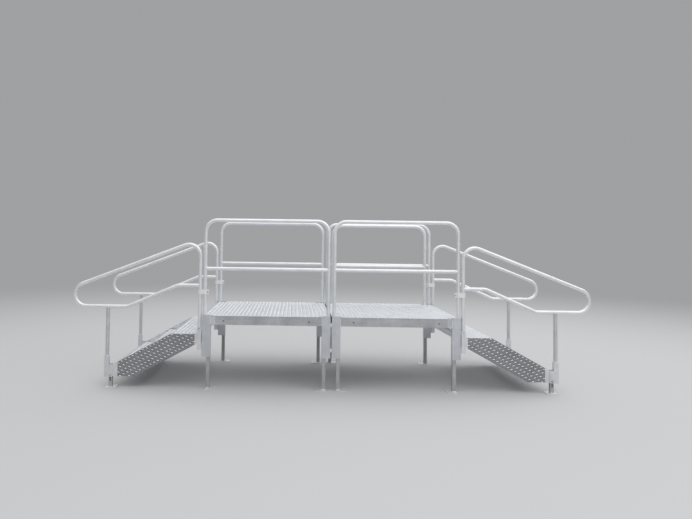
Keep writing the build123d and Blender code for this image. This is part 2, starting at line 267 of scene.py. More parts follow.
# %% Hang the soft panels
MIDDLE = (0.0, 0.0, 0.0)
PANELS = {
    "overhead_panel": {"place": (0.0, 0.0, 10.0), "aim": MIDDLE, "size": (30.0, 30.0), "watts": 1700.0},
    "side_panel": {"place": (6.0, 0.0, 10.0), "aim": MIDDLE, "size": (24.0, 24.0), "watts": 780.0},
    "front_panel": {"place": (2.0, -9.0, 3.5), "aim": (0.0, 0.0, 0.6), "size": (8.0, 5.0), "watts": 80.0},
}
for name, panel in PANELS.items():
    lamp = bpy.data.lights.new(name, "AREA")
    lamp.shape = "RECTANGLE"
    lamp.size, lamp.size_y = panel["size"]
    lamp.energy = panel["watts"]
    holder = bpy.data.objects.new(name, lamp)
    holder.location = panel["place"]
    beam = Vector(panel["aim"]) - Vector(panel["place"])
    holder.rotation_euler = beam.to_track_quat("-Z", "Y").to_euler()
    scene.collection.objects.link(holder)
    print(name, panel["watts"], "watts")

# %% [markdown]
# ## Bare aluminium
#
# Mill-finish aluminium is never one grey. The oxide clouds the shine in soft patches, and
# extrusions carry faint drawing lines along their length. Both are noise in the object's own
# coordinates: coarse for the clouds, and drawn out along the extrusion for the lines.

# %% Make the clouds and the lines
CLOUD_SCALE = 7.0
CLOUD_STOPS = (0.34, 0.66)
LINE_SCALE = {"X": (3.0, 260.0, 260.0), "Z": (260.0, 260.0, 3.0)}
EVEN_SCALE = (180.0, 180.0, 180.0)
NOISE_RANGE = (0.3, 0.7)


def noise(tree, where, scale, detail, roughness=0.5):
    """Noise at a scale, around one half."""
    inputs = {"Vector": where, "Scale": scale, "Detail": detail, "Roughness": roughness}
    return add_node(tree, "TexNoise", inputs).outputs["Fac"]


def remap(tree, value, old, new=(0.0, 1.0)):
    """Value, taken from its old range to a new one."""
    inputs = {"Value": value, "From Min": old[0], "From Max": old[1], "To Min": new[0], "To Max": new[1]}
    return add_node(tree, "MapRange", inputs).outputs["Result"]


def cloudy(tree, where, tone, cloud):
    """Colour that wanders about a tone in soft patches."""
    patches = noise(tree, where, CLOUD_SCALE, detail=6.0, roughness=0.62)
    tint = add_node(tree, "ValToRGB", {"Fac": patches})
    for stop, position, share in zip(tint.color_ramp.elements, CLOUD_STOPS, (1.0 - cloud, 1.0 + cloud)):
        stop.position = position
        stop.color = (*(min(1.0, part * share) for part in tone), 1.0)
    return tint.outputs["Color"]


def drawn_lines(tree, where, axis):
    """Noise drawn out along an axis, or even grain where there is none."""
    spread = add_node(tree, "Mapping", {"Vector": where, "Scale": LINE_SCALE.get(axis, EVEN_SCALE)})
    return noise(tree, spread.outputs["Vector"], scale=1.0, detail=3.0)


print("clouds at scale", CLOUD_SCALE, "and lines along", ", ".join(LINE_SCALE))

# %% [markdown]
# Some solids are not of one tone: a stair side is dull outside and carries a painted highlight
# inside, where the treads shade it, and a leg ends in a pale foot plate, lightened further as
# painted light where the deck shades it. A mask can pick such a zone by its distance from the
# middle of the bridge, so one range serves both ends and both sides at once.

# %% Pick out a zone
def within(tree, where, ranges):
    """Mask that is 1 where the distance from the bridge's middle lies in each axis's range."""
    split = add_node(tree, "SeparateXYZ", {"Vector": where})
    tests = []
    for axis, (low, high) in ranges.items():
        size = math_of(tree, "ABSOLUTE", split.outputs[axis])
        tests.append(math_of(tree, "GREATER_THAN", size, low))
        tests.append(math_of(tree, "LESS_THAN", size, high))
    mask = tests[0]
    for test in tests[1:]:
        mask = math_of(tree, "MULTIPLY", mask, test)
    return mask


JUST_OFF = 0.0005
BEYOND = 2.0
FOOT_T = 0.008
FASCIA_END_W = 0.046
OUTER_FACE = {
    "X": (PLATE_X0 + FLANGE_HIGH_X, PLATE_X1 - FLANGE_LOW_X),
    "Y": (STRINGER_FACE - JUST_OFF, BEYOND),
}
# The inner face of a stair side gets a painted highlight: a brighter tone where the treads shade it.
INNER_FACE_HIGHLIGHT = {
    "X": (PLATE_X0, PLATE_X1),
    "Y": (0.0, STRINGER_FACE - STRINGER_T + JUST_OFF),
}
FOOT_PLATE = {"Z": (-BEYOND, FOOT_T + JUST_OFF)}
FASCIA_END = {"X": (housing_low.x - FASCIA_END_W, BEYOND)}
print("dull outer face from", round(OUTER_FACE["X"][0], 3), "to", round(OUTER_FACE["X"][1], 3))

# %% [markdown]
# Faces that look up get a painted highlight, a brighter tone that stands in for the overhead
# light falling on them, and dirt gathers low down in small spots. The first is a matter of
# which way a face looks, the second of how high it lies.

# %% Paint the upward highlight and the dirt
HIGHLIGHT_TILT = (0.25, 0.50)
GRIME = (0.16, 0.14, 0.12, 1.0)
GRIME_SCALE = 34.0
GRIME_SPOTS = (0.42, 0.70)


def painted_top_highlight(tree, colour, bright):
    """Painted highlight: a bright tone on faces that look up, where the overhead light falls."""
    normal = add_node(tree, "NewGeometry").outputs["Normal"]
    upward = add_node(tree, "SeparateXYZ", {"Vector": normal}).outputs["Z"]
    return mix_of(tree, remap(tree, upward, HIGHLIGHT_TILT), colour, (*bright, 1.0))


def grimy(tree, where, colour, grime, top):
    """Spots of dirt that thin out up to a height."""
    height = add_node(tree, "SeparateXYZ", {"Vector": where}).outputs["Z"]
    low = remap(tree, height, (0.0, top), (1.0, 0.0))
    spots = remap(tree, noise(tree, where, GRIME_SCALE, detail=8.0), GRIME_SPOTS, (0.0, grime))
    return mix_of(tree, math_of(tree, "MULTIPLY", low, spots), colour, GRIME)


print("rubbed from a tilt of", HIGHLIGHT_TILT[0], "and grimy at scale", GRIME_SCALE)

# %% [markdown]
# One recipe lays these over each other. Fine scratches change the roughness instead of the
# colour, and the drawing lines are felt as a very low relief as well.

# %% Put the finish together
SCRATCH_SCALE = 60.0
ROUGHNESS_SPREAD = (-0.07, 0.09)
RELIEF = 0.0006


def aluminium(name, tone, roughness, lines=None, line_strength=0.05, cloud=0.05, grime=0.0, grime_top=0.3,
              bump=0.15, metal=0.9, zones=(), highlighted=None):
    """Bare alloy: cloudy oxide, drawing lines along one axis, zones, a painted highlight on upward faces,
    dirt and fine scratches.
    """
    material = bpy.data.materials.new(name)
    tree = empty_tree(material)
    where = add_node(tree, "TexCoord").outputs["Object"]
    grain = drawn_lines(tree, where, lines)
    streaks = remap(tree, grain, NOISE_RANGE, (1.0 - line_strength, 1.0))
    colour = mix_of(tree, 1.0, cloudy(tree, where, tone, cloud), streaks, "MULTIPLY")
    for ranges, zone_tone in zones:
        change = (*(new / old for new, old in zip(zone_tone, tone)), 1.0)
        colour = mix_of(tree, within(tree, where, ranges), colour, change, "MULTIPLY")
    # Painted highlight: faces that look up take a brighter tone, where the overhead light falls.
    if highlighted:
        colour = painted_top_highlight(tree, colour, highlighted)
    if grime > 0.0:
        colour = grimy(tree, where, colour, grime, grime_top)
    scratches = noise(tree, where, SCRATCH_SCALE, detail=8.0, roughness=0.7)
    gloss = remap(tree, scratches, NOISE_RANGE, [roughness + change for change in ROUGHNESS_SPREAD])
    relief = add_node(tree, "Bump", {"Strength": bump, "Distance": RELIEF, "Height": grain})
    shader = add_node(tree, "BsdfPrincipled", {
        "Base Color": colour,
        "Metallic": metal,
        "Roughness": gloss,
        "Normal": relief.outputs["Normal"],
    })
    add_node(tree, "OutputMaterial", {"Surface": shader.outputs["BSDF"]})
    return material


print("scratches at scale", SCRATCH_SCALE, "relief", RELIEF)

# %% [markdown]
# Each alloy part gets its own tone, line direction and roughness. Tubes are bright and hardly
# clouded, extrusions carry lines along their length, the outer face of a stair side is dull
# between its lugs, whose upward flanks carry a painted highlight, and welds are coarse.

# %% Mix the finishes
# The bright tone below is painted light: the lit look of a stair side's inner face and of the upward flanks
# of its lugs.
HIGHLIGHT_TONE = (0.97, 0.975, 0.98)
# The lip tone is a painted highlight on the upward top edge of a stair side.
LIP_HIGHLIGHT = (0.95, 0.955, 0.96)
# The foot plate tone is partly the plate's own paler alloy and partly painted light, raised to brighten it
# where the deck shades it.
PALE_WITH_PAINTED_LIGHT = (0.90, 0.905, 0.92)
AGED = (0.68, 0.69, 0.71)
ZINC = (0.60, 0.605, 0.61)
DULL_PLATE = (0.31, 0.31, 0.33)
FINISH = {
    "tube": aluminium("bright_tube", (0.88, 0.89, 0.905), 0.42, metal=0.75),
    "post": aluminium("aged_tube", AGED, 0.42, cloud=0.07, metal=0.85),
    "housing": aluminium("housing_extrusion", (0.67, 0.685, 0.72), 0.44, lines="Z", line_strength=0.10,
                         cloud=0.08, grime=0.25, grime_top=0.2),
    # A leg: dull tube with dirt low down, ending in a pale foot plate that is partly painted light.
    "leg": aluminium("leg_tube", (0.50, 0.505, 0.51), 0.46, lines="Z", line_strength=0.12, cloud=0.10,
                     grime=0.14, metal=0.6, zones=[(FOOT_PLATE, PALE_WITH_PAINTED_LIGHT)]),
    "fascia": aluminium("fascia_tube", (0.56, 0.565, 0.585), 0.48, lines="X", line_strength=0.14,
                        cloud=0.14, zones=[(FASCIA_END, AGED)]),
    "deck": aluminium("deck_plate", (0.46, 0.49, 0.54), 0.42, line_strength=0.06, cloud=0.06),
    "tread": aluminium("tread_plate", (0.58, 0.61, 0.65), 0.42, line_strength=0.06, cloud=0.06),
    # A stair side: dull outer face, a painted highlight on its inner face and its upward top edge, and dirt
    # low down.
    "stringer": aluminium("stair_side", (0.82, 0.83, 0.85), 0.42, line_strength=0.08, cloud=0.10, grime=0.2,
                          zones=[(OUTER_FACE, DULL_PLATE), (INNER_FACE_HIGHLIGHT, HIGHLIGHT_TONE)], highlighted=LIP_HIGHLIGHT),
    "lug": aluminium("rolled_lugs", (0.91, 0.93, 0.965), 0.38),
    # Side lugs are dim, with a painted highlight on their flanks that look up.
    "side lug": aluminium("side_lugs", (0.36, 0.36, 0.38), 0.30, cloud=0.06, metal=0.55, highlighted=HIGHLIGHT_TONE),
    "cast": aluminium("bracket_alloy", (0.95, 0.955, 0.97), 0.50, line_strength=0.06, cloud=0.06,
                      metal=0.55),
    "weld": aluminium("weld_metal", (0.94, 0.945, 0.96), 0.34, line_strength=0.12, cloud=0.08, bump=0.5),
    "bolt": aluminium("dull_bolt", (0.14, 0.14, 0.15), 0.42, line_strength=0.10, cloud=0.20),
    "zinc bolt": aluminium("zinc_bolt", ZINC, 0.34, line_strength=0.10, cloud=0.12),
}
print("finishes:", ", ".join(FINISH))

# %% [markdown]
# ## Finish the frame's own solids
#
# The solids keep their shape and only take a finish. Which finish a solid gets is read from
# its name, so a new tube or leg would be dressed without a new line here.

# %% Dress the solids
FINISH_WORDS = (
    ("stringer", "stringer"), ("tread", "tread"), ("deck_plate", "deck"), ("deck_frame", "fascia"),
    ("bearers", "fascia"), ("housing", "housing"), ("leg", "leg"), ("clips", "cast"), ("links", "cast"),
    ("balusters", "post"), ("", "tube"),
)
for name, node in nodes.items():
    finish = next(finish for word, finish in FINISH_WORDS if word in name)
    node.data.materials.clear()
    node.data.materials.append(FINISH[finish])
print("dressed", len(nodes), "solids")

# %% [markdown]
# ## Small helpers for new pieces
#
# Blender's operators act on whatever is selected, so each piece starts from a clean selection.
# A finished piece has its place in its mesh, carries one finish and rides on the bridge.

# %% Define the helpers
ORIGIN = (0.0, 0.0, 0.0)


def clean_start():
    """Nothing selected."""
    bpy.ops.object.select_all(action="DESELECT")


def active(piece):
    """Only this piece selected and active."""
    clean_start()
    piece.select_set(True)
    bpy.context.view_layer.objects.active = piece


def settle(piece):
    """Moves the piece's place, turn and size into its mesh."""
    active(piece)
    bpy.ops.object.transform_apply(location=True, rotation=True, scale=True)
    return piece


def copy_of(piece, matrix):
    """Copy with its own mesh, moved by a matrix."""
    double = piece.copy()
    double.data = piece.data.copy()
    scene.collection.objects.link(double)
    double.data.transform(matrix)
    if matrix.determinant() < 0.0:
        double.data.flip_normals()
    return double


def join(pieces):
    """One piece out of several."""
    clean_start()
    for piece in pieces:
        piece.select_set(True)
    bpy.context.view_layer.objects.active = pieces[0]
    bpy.ops.object.join()
    return bpy.context.object


def facing(place, way):
    """Matrix that stands a shape at a place, with its Z axis along a direction."""
    return Matrix.Translation(place) @ Vector(way).to_track_quat("Z", "Y").to_matrix().to_4x4()


def hand_in(piece, name, finish, smooth_degrees=None):
    """Names the piece, gives it its finish and lets it ride on the bridge."""
    active(piece)
    if smooth_degrees is not None:
        bpy.ops.object.shade_smooth_by_angle(angle=radians(smooth_degrees))
    piece.name = name
    piece.data.name = name
    piece.data.materials.clear()
    piece.data.materials.append(FINISH[finish])
    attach(piece, "root")
    print(name, "triangles", sum(len(face.vertices) - 2 for face in piece.data.polygons))


print("piece helpers ready")

# %% [markdown]
# Shaping in edit mode starts with a choice of faces or points. Here it is made by a test on
# each of them, such as where it lies or which way it looks. The select mode is set first, so
# that only the chosen ones are selected. Sharp edges are broken with a Bevel modifier whose
# result is made real.

# %% Choose and bevel
def choose(piece, kind, test):
    """Enters edit mode with the points or faces selected for which the test is true."""
    active(piece)
    bpy.ops.object.mode_set(mode="EDIT")
    bpy.ops.mesh.select_mode(type=kind)
    bpy.ops.mesh.select_all(action="DESELECT")
    bpy.ops.object.mode_set(mode="OBJECT")
    parts = {"VERT": piece.data.vertices, "FACE": piece.data.polygons}[kind]
    for part in parts:
        part.select = test(part)
    bpy.ops.object.mode_set(mode="EDIT")


def looks_up(face):
    """True for a face whose normal is nearly upright."""
    return face.normal.z > 0.9


def break_edges(piece, width):
    """Small round on the sharp edges."""
    active(piece)
    bevel = piece.modifiers.new("edges", "BEVEL")
    bevel.width = width
    bevel.segments = 2
    bpy.ops.object.modifier_apply(modifier=bevel.name)


print("shaping helpers ready")

# %% [markdown]
# ## Chequer pattern
#
# The decks, treads and stair sides are rolled tread plate: lens-shaped lugs, each turned a
# quarter from its neighbours. They could be painted on with a bump map, but real lugs catch
# the light along one flank and keep their shape in close views. One lug is a six-sided prism
# drawn out to a lens with a smaller top, so it has only eight faces.

# %% Model one cell of the pattern
LUG_LENGTH = 0.034
LUG_WIDTH = 0.0108
LUG_HEIGHT = 0.0022
LUG_SUNK = 0.0004
LUG_TOP = (0.22, 0.62, 1.0)
PITCH_PLATE = 0.0413
HEX_RATIO = 0.866


def one_lug(angle, x, y):
    """Lens-shaped lug on the plane Z = 0, turned by an angle."""
    clean_start()
    bpy.ops.mesh.primitive_cylinder_add(vertices=6, radius=0.5, depth=1.0, location=ORIGIN)
    lug = bpy.context.object
    lug.scale = (LUG_WIDTH / HEX_RATIO, LUG_LENGTH, LUG_HEIGHT + LUG_SUNK)
    settle(lug)
    choose(lug, "FACE", looks_up)
    bpy.ops.transform.resize(value=LUG_TOP)
    bpy.ops.object.mode_set(mode="OBJECT")
    lift = (LUG_HEIGHT + LUG_SUNK) / 2 - LUG_SUNK
    lug.data.transform(Matrix.Translation((x, y, lift)) @ Matrix.Rotation(angle, 4, "Z"))
    return lug


cell = join([one_lug(radians(45), 0.0, 0.0), one_lug(radians(-45), PITCH_PLATE / 2, PITCH_PLATE / 2)])
print("one cell:", len(cell.data.polygons), "faces")

# %% [markdown]
# A sheet of the pattern is the cell, spread by two Array modifiers and trimmed at the sheet's
# edges. The bisect operator cuts through lugs that cross an edge and closes them, as shears do
# on the real plate.

# %% Spread the pattern over a sheet
def repeat(piece, count, step):
    """Row of copies, made real."""
    active(piece)
    row = piece.modifiers.new("row", "ARRAY")
    row.count = count
    row.use_relative_offset = False
    row.use_constant_offset = True
    row.constant_offset_displace = step
    bpy.ops.object.modifier_apply(modifier=row.name)


def trim(piece, point, outward):
    """Cuts away what lies past a plane and closes the cut."""
    active(piece)
    bpy.ops.object.mode_set(mode="EDIT")
    bpy.ops.mesh.select_all(action="SELECT")
    bpy.ops.mesh.bisect(plane_co=point, plane_no=outward, use_fill=True, clear_outer=True,
                        clear_inner=False, threshold=0.00001)
    bpy.ops.object.mode_set(mode="OBJECT")


def drop_lugs(piece, inside):
    """Takes away each lug that has a corner for which inside(point) is true."""
    choose(piece, "VERT", lambda vertex: inside(vertex.co))
    bpy.ops.mesh.select_linked()
    bpy.ops.mesh.delete(type="VERT")
    bpy.ops.object.mode_set(mode="OBJECT")


def pattern_sheet(x0, x1, y0, y1):
    """Lugs over a rectangle on Z = 0, with the last row trimmed at the edges."""
    sheet = copy_of(cell, Matrix.Translation((x0 + PITCH_PLATE / 4, y0 + PITCH_PLATE / 4, 0.0)))
    repeat(sheet, int((x1 - x0) / PITCH_PLATE) + 1, (PITCH_PLATE, 0.0, 0.0))
    repeat(sheet, int((y1 - y0) / PITCH_PLATE) + 1, (0.0, PITCH_PLATE, 0.0))
    trim(sheet, (x0, 0.0, 0.0), (-1.0, 0.0, 0.0))
    trim(sheet, (x1, 0.0, 0.0), (1.0, 0.0, 0.0))
    trim(sheet, (0.0, y0, 0.0), (0.0, -1.0, 0.0))
    trim(sheet, (0.0, y1, 0.0), (0.0, 1.0, 0.0))
    return sheet


print("pattern pitch", PITCH_PLATE)

# %% [markdown]
# The treads carry the pattern on their flat tops, and both decks are cut from the same plate.
# The lugs stop a few millimetres short of the edges, where the plate is sheared. On the decks
# they also leave the four corner notches free for the housings, and the places where the second
# hoop stands on the right deck.

# %% Lay the lugs on the treads and decks
EDGE_MARGIN = 0.004


def flat_lugs(node):
    """Lugs over the whole top of a plate."""
    low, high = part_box(node)
    lugs = pattern_sheet(low.x + EDGE_MARGIN, high.x - EDGE_MARGIN,
                         low.y + EDGE_MARGIN, high.y - EDGE_MARGIN)
    lugs.data.transform(Matrix.Translation((0.0, 0.0, high.z)))
    return lugs


def deck_lugs(side):
    """Lugs of one deck plate."""
    low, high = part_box(f"{side}_deck_plate")
    lugs = flat_lugs(f"{side}_deck_plate")

    def in_notch(point):
        near_x = min(point.x - low.x, high.x - point.x) < HOUSING_W + EDGE_MARGIN
        near_y = min(point.y - low.y, high.y - point.y) < high.y - HOUSING_BACK + EDGE_MARGIN
        return near_x and near_y

    def under_hoop(point):
        return any(hypot(point.x - x, point.y - HOOP_Y) < HOOP_BASE_R + EDGE_MARGIN for x in HOOP_POSTS)

    drop_lugs(lugs, in_notch)
    drop_lugs(lugs, under_hoop)
    return lugs


for side in SIDES:
    hand_in(deck_lugs(side), f"{side}_deck_lugs", "lug")
for side in SIDES:
    for number in (1, 2, 3):
        hand_in(flat_lugs(f"{side}_tread_{number}"), f"{side}_tread_{number}_lugs", "lug")

# %% [markdown]
# On the stair sides the sheet was laid along the slope before it was cut, so the rows of lugs
# climb with the stairs. The pattern is spread over a rectangle in the slope's own direction,
# stood up on the plate's outer face and trimmed along the plate's edges. One side is modelled
# and mirrored to the other three.

# %% Lay the lugs on the stair sides
SHEET_START = 0.1
SHEET_SPARE = 0.3
SHEET_BELOW, SHEET_ABOVE = 0.45, 0.25
SIDE_MARGIN = 0.002


def stringer_lugs():
    """Lugs on the outer face of the right stair's near side, at its real place."""
    fall = atan2(SLOPE, 1.0)
    lugs = pattern_sheet(0.0, (PLATE_X1 - PLATE_X0) / cos(fall) + SHEET_SPARE, -SHEET_BELOW, SHEET_ABOVE)
    start = Matrix.Translation((PLATE_X0 - SHEET_START, -STRINGER_FACE, PLATE_TOP))
    lugs.data.transform(start @ Matrix.Rotation(radians(90), 4, "X") @ Matrix.Rotation(-fall, 4, "Z"))
    top = PLATE_TOP - LIP_T
    bottom = STRINGER_BOTTOM + SIDE_MARGIN
    down = Vector((-SLOPE, 0.0, -1.0)).normalized()
    trim(lugs, (PLATE_X0 + FLANGE_HIGH_X + SIDE_MARGIN, 0.0, 0.0), (-1.0, 0.0, 0.0))
    trim(lugs, (PLATE_X1 - FLANGE_LOW_X - SIDE_MARGIN, 0.0, 0.0), (1.0, 0.0, 0.0))
    trim(lugs, (0.0, 0.0, top), (0.0, 0.0, 1.0))
    trim(lugs, (0.0, 0.0, bottom), (0.0, 0.0, -1.0))
    trim(lugs, (SLOPE_X0, 0.0, top), -down)
    trim(lugs, (PLATE_X1 - STRINGER_FLAT, 0.0, bottom), down)
    return lugs


side_lugs = stringer_lugs()
for side, flip_x in zip(SIDES, (-1.0, 1.0)):
    for row, flip_y in zip(ROWS, (1.0, -1.0)):
        lugs = copy_of(side_lugs, Matrix.Diagonal((flip_x, flip_y, 1.0, 1.0)))
        hand_in(lugs, f"{side}_{row}_stringer_lugs", "side lug")
bpy.data.objects.remove(side_lugs)
bpy.data.objects.remove(cell)

# %% [markdown]
# ## Weld beads
#
# The tubes are coped and welded all round, which leaves a rippled bead along the saddle where
# a rail meets a post. A torus already has the bead's section. Its thickness swells a little
# with every ripple of the torch, and each of its points is slid along the rail until it meets
# the post's round side.

# %% Model the saddle beads
BEAD_SIDES = 8
BEAD_R = 0.0026
BEAD_OUT = 0.35
RING_SWELL = 0.16
RING_SMOOTH = 40
RAIL_WAY = (1.0, 0.0, 0.0)
UP = (0.0, 0.0, 1.0)
DOWN = (0.0, 0.0, -1.0)


def rippled_ring(radius, bead_r, segments, ripples):
    """Ring on Z = 0 that swells with every ripple."""
    clean_start()
    bpy.ops.mesh.primitive_torus_add(major_segments=segments, minor_segments=BEAD_SIDES,
                                     major_radius=radius, minor_radius=bead_r, location=ORIGIN)
    ring = bpy.context.object
    for vertex in ring.data.vertices:
        angle = atan2(vertex.co.y, vertex.co.x)
        middle = Vector((cos(angle), sin(angle), 0.0)) * radius
        vertex.co = middle + (vertex.co - middle) * (1.0 + RING_SWELL * cos(ripples * angle))
    return ring


def saddle_bead(place, along, post_axis):
    """Bead where a tube that leaves along one way meets a tube of its own size."""
    bead = rippled_ring(TUBE_R + BEAD_R * BEAD_OUT, BEAD_R, segments=68, ripples=34)
    for vertex in bead.data.vertices:
        vertex.co.z += TUBE_R * abs(cos(atan2(vertex.co.y, vertex.co.x)))
    along, post_axis = Vector(along), Vector(post_axis)
    bead.data.transform(on_axes(place, post_axis, along.cross(post_axis), along))
    return bead


print("bead radius", BEAD_R, "with", BEAD_SIDES, "sides")

# %% [markdown]
# Each guard has such a bead at both ends of its middle rail. The second hoop stands a little
# lower, and so does its rail.

# %% Weld the middle rails
MID_RAIL = 1.221
INNER_HOOP_DROP = 0.015


def rail_beads(posts, y, z):
    """The two beads of a rail between two posts."""
    return [saddle_bead((x, y, z), (way, 0.0, 0.0), UP) for x, way in zip(posts, (1.0, -1.0))]


beads = []
for side in SIDES:
    for row in ROWS:
        low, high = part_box(f"{side}_{row}_guard")
        beads += rail_beads((low.x + TUBE_R, high.x - TUBE_R), (low.y + high.y) / 2, MID_RAIL)
hand_in(join(beads), "guard_welds", "weld", RING_SMOOTH)
hoop_beads = rail_beads(HOOP_POSTS, HOOP_Y, MID_RAIL - INNER_HOOP_DROP)
hand_in(join(hoop_beads), "inner_hoop_welds", "weld", RING_SMOOTH)

# %% [markdown]
# The handrails have a bead where the lower rail meets the post and one on top of each
# baluster. Two more welds run straight round a tube: the splice where the loop meets the lower
# rail, and the seam where a baluster stands in its socket. The second hoop's base rings are
# welded to the deck in the same way. For these the torus only needs its ripples.

# %% Weld the handrails
RAIL_HIGH_Z = 1.046
RAIL_LOW_Z = 0.821
RAIL_SPLICE = 0.943
SOCKET_TOP = 0.318
SPLICE_BEAD = 0.0024
BASE_BEAD = 0.003
SOCKET_OUT = 0.001
HOOP_OUT = 0.0008
HOOP_UP = 0.0005
STAIR_POST_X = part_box("right_near_handrail")[0].x + TUBE_R
BALUSTER_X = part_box("handrail_balusters")[1].x - TUBE_R


def ring_bead(place, axis, radius, bead_r):
    """Bead right round a tube."""
    bead = rippled_ring(radius, bead_r, segments=60, ripples=20)
    bead.data.transform(facing(place, axis))
    return bead


beads = []
for sign in SIGNS:
    for y in (-RAIL_Y, RAIL_Y):
        beads.append(saddle_bead((sign * STAIR_POST_X, y, RAIL_HIGH_Z), (sign, 0.0, 0.0), UP))
        beads.append(saddle_bead((sign * BALUSTER_X, y, RAIL_LOW_Z), DOWN, RAIL_WAY))
        splice = (sign * (STAIR_POST_X + RAIL_SPLICE), y, RAIL_LOW_Z)
        beads.append(ring_bead(splice, RAIL_WAY, TUBE_R, SPLICE_BEAD))
        beads.append(ring_bead((sign * BALUSTER_X, y, SOCKET_TOP), UP, TUBE_R + SOCKET_OUT, BASE_BEAD))
hand_in(join(beads), "handrail_welds", "weld", RING_SMOOTH)

beads = []
for x in HOOP_POSTS:
    beads.append(ring_bead((x, HOOP_Y, DECK_TOP + HOOP_UP), UP, HOOP_BASE_R + HOOP_OUT, BASE_BEAD))
hand_in(join(beads), "hoop_base_welds", "weld", RING_SMOOTH)

# %% [markdown]
# One guard post, the right module's near one beside the gap, stands in a bright bush on top of
# its housing. It is a short sleeve with rounded ends, so the Solidify modifier gives an open
# cylinder its wall and a bevel breaks its edges.

# %% Turn the bush
BUSH_HEIGHT = 0.018
BUSH_WALL = 0.0022
BUSH_PLAY = 0.0003
BUSH_EDGE = 0.0008
bush_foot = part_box("right_near_inner_housing")[1].z
clean_start()
bpy.ops.mesh.primitive_cylinder_add(
    vertices=64, radius=TUBE_R + BUSH_PLAY, depth=BUSH_HEIGHT, end_fill_type="NOTHING",
    location=(rail_low.x + TUBE_R, -RAIL_Y, bush_foot + BUSH_HEIGHT / 2))
bush = settle(bpy.context.object)
wall = bush.modifiers.new("wall", "SOLIDIFY")
wall.thickness = BUSH_WALL
wall.offset = 1.0
bpy.ops.object.modifier_apply(modifier=wall.name)
break_edges(bush, BUSH_EDGE)
hand_in(bush, "post_bush", "weld", RING_SMOOTH)

# %% [markdown]
# Straight beads close the corners between flat parts: fascia to housing, bearer to beam, stair
# side to its sockets, tread to stair side, and leg to foot plate. Each is a plain eight-sided
# rod, half sunk in the corner, and its thickness depends a little on its length. A torch leaves
# ripples in such beads too: to show them, a rod would be cut into rings along its length, and
# the rings swollen in turn.

# %% Model the straight beads
ROD_SMOOTH = 50
ROD_SWELL = 0.18
ROD_WAVE = 0.0032


def straight_bead(start, end, radius, wave=ROD_WAVE):
    """Rod of weld metal from one point to another, a little thicker or thinner by its length."""
    start, end = Vector(start), Vector(end)
    length = (end - start).length
    thickness = radius * (1.0 + ROD_SWELL * cos(pi * length / wave))
    clean_start()
    bpy.ops.mesh.primitive_cylinder_add(vertices=BEAD_SIDES, radius=thickness, depth=length,
                                        location=ORIGIN)
    bead = bpy.context.object
    bead.data.transform(facing((start + end) / 2, end - start))
    return bead


FASCIA_BEAD = 0.0042
BEAD_FOOT, BEAD_HEAD = 0.004, 0.002
beads = []
for side in SIDES:
    low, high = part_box(f"{side}_deck_plate")
    for x in (low.x + HOUSING_W, high.x - HOUSING_W):
        for y in (-FASCIA_FACE, FASCIA_FACE):
            foot, head = (x, y, frame_low.z + BEAD_FOOT), (x, y, frame_high.z - BEAD_HEAD)
            beads.append(straight_bead(foot, head, FASCIA_BEAD))
hand_in(join(beads), "fascia_welds", "weld", ROD_SMOOTH)

# %% [markdown]
# Under the deck, each bearer is welded to the beams along its sides and its bottom edge.

# %% Weld the bearers
BEAM_DEPTH = 0.040
BEARER_HALF = 0.020
BEARER_BEAD = 0.0028
BEARER_HEAD = 0.003
bearer_low, bearer_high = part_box("deck_bearers")
foot, head = bearer_low.z, bearer_high.z - BEARER_HEAD
bearer_line = bearer_high.y - BEARER_HALF
beads = []
for side in SIDES:
    low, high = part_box(f"{side}_deck_frame")
    for x in (low.x + BEAM_DEPTH, high.x - BEAM_DEPTH):
        for y in (-bearer_line, bearer_line):
            flanks = (y - BEARER_HALF, y + BEARER_HALF)
            beads += [straight_bead((x, flank, foot), (x, flank, head), BEARER_BEAD) for flank in flanks]
            beads.append(straight_bead((x, flanks[0], foot), (x, flanks[1], foot), BEARER_BEAD))
hand_in(join(beads), "bearer_welds", "weld", ROD_SMOOTH)

# %% [markdown]
# Every leg stands on its foot plate in a square of four short beads.

# %% Weld the legs to their foot plates
LEG_HALF = 0.019
LEG_IN = 0.0225
FOOT_BEAD = 0.0026
CORNERS = ((-1, -1), (1, -1), (1, 1), (-1, 1))
STAIR_LEG_X = PLATE_X1 + LEG_IN
leg_lines = [sign * STAIR_LEG_X for sign in SIGNS]
for side in SIDES:
    middle = sum(corner.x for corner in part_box(f"{side}_deck_plate")) / 2
    for end in ("inner", "outer"):
        low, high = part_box(f"{side}_near_{end}_housing")
        leg_lines.append(min((low.x + LEG_IN, high.x - LEG_IN), key=lambda x: abs(x - middle)))
beads = []
for leg_x in leg_lines:
    for leg_y in (-RAIL_Y, RAIL_Y):
        ring = [(leg_x + i * LEG_HALF, leg_y + j * LEG_HALF, FOOT_T) for i, j in CORNERS]
        beads += [straight_bead(start, end, FOOT_BEAD) for start, end in zip(ring, ring[1:] + ring[:1])]
hand_in(join(beads), "foot_welds", "weld", ROD_SMOOTH)

# %% [markdown]
# The stair sides are welded to the upper sockets and to the low housings, along both edges of
# the end flanges, and the treads are welded to the sides from below.

